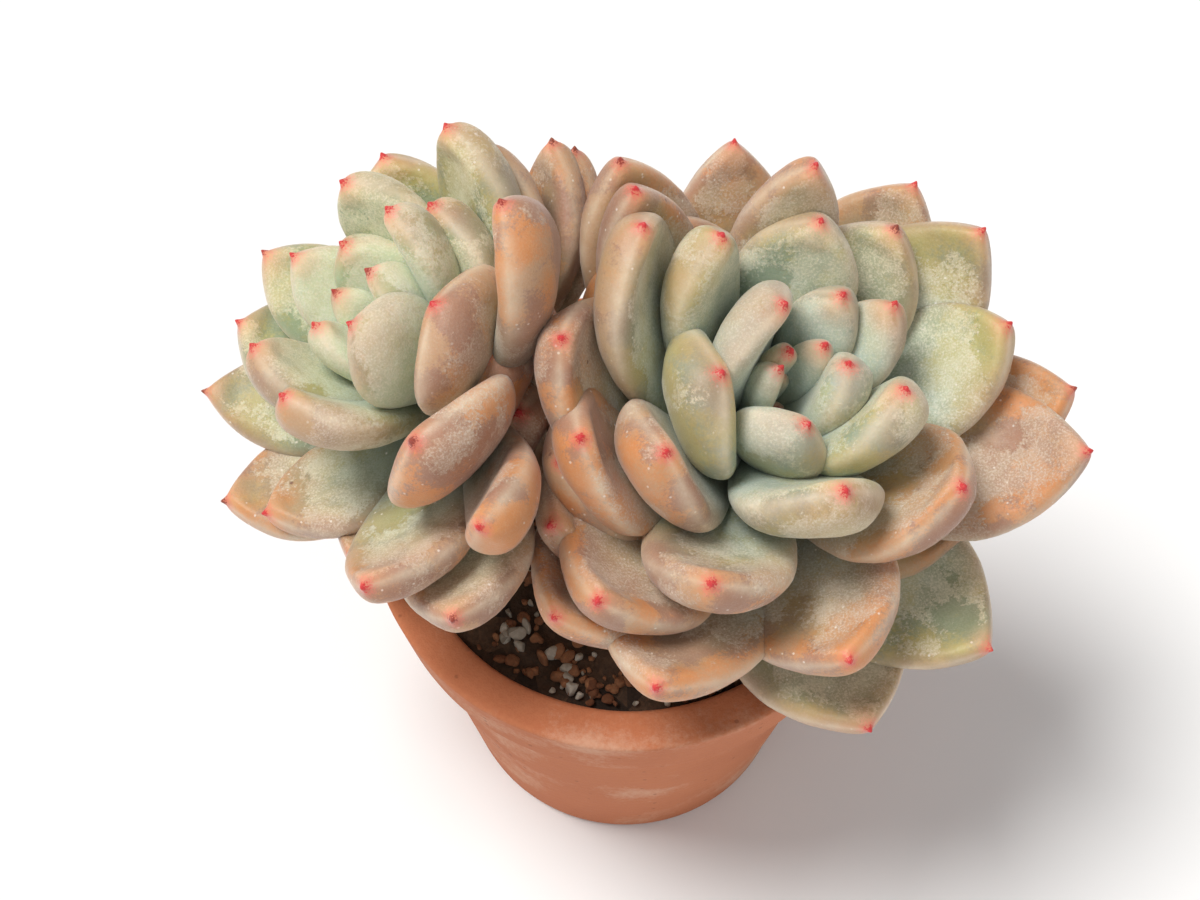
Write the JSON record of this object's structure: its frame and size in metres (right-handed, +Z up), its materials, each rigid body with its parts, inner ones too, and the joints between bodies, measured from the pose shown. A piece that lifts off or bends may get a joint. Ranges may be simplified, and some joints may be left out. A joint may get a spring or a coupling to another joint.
{
  "type": "potted succulent",
  "caption": "Rosette succulent with thick waxy pointed leaves on a short forked stem, in a plain terracotta pot.",
  "frame": {"origin": "middle of the pot's underside, on the resting plane, which is also the middle of the whole outline seen from above", "axes": "+Z up the pot's axis; the two heads stand side by side along X; the front view looks along +Y"},
  "size_m": [0.1427, 0.0905, 0.1442],
  "materials": {
    "terracotta": "matte, unglazed fired clay",
    "soil": "gritty mix of pumice, clay granules and dark compost",
    "stem": "dry, ringed with leaf scars",
    "leaf_right": "thick leaf under a matte waxy bloom, pale green at the heart to peach-orange outside",
    "leaf_left": "thick leaf under a matte waxy bloom, pale green at the heart to peach-orange outside"
  },
  "bodies": {
    "root": {"pot": "terracotta", "soil": "soil", "stem": "stem", "head_right": "leaf_right", "head_left": "leaf_left"}
  },
  "joints": []
}
